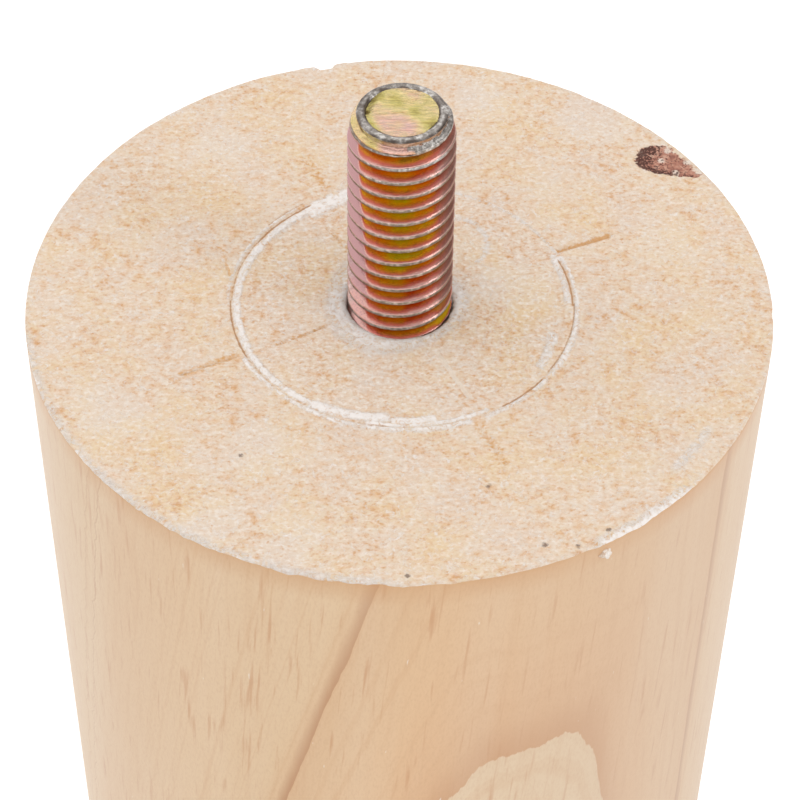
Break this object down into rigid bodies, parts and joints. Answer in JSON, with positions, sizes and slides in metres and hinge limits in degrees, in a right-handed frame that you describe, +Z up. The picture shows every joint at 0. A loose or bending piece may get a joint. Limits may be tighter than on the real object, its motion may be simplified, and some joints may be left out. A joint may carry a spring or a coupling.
{
  "type": "table leg",
  "caption": "Round tapered hardwood table leg with a zinc-plated steel hanger bolt standing out of its top for screwing into a table.",
  "frame": {"origin": "middle of the foot's flat underside, on the floor", "axes": "+Z up the leg's axis, from the foot to the hanger bolt; +X right and +Y back as one faces the leg"},
  "size_m": [0.068, 0.068, 0.429],
  "materials": {
    "lacquered_wood": "satin",
    "zinc_plated_steel": "satin"
  },
  "bodies": {
    "root": {"wooden_leg": "lacquered_wood", "hanger_bolt": "zinc_plated_steel"}
  },
  "joints": []
}
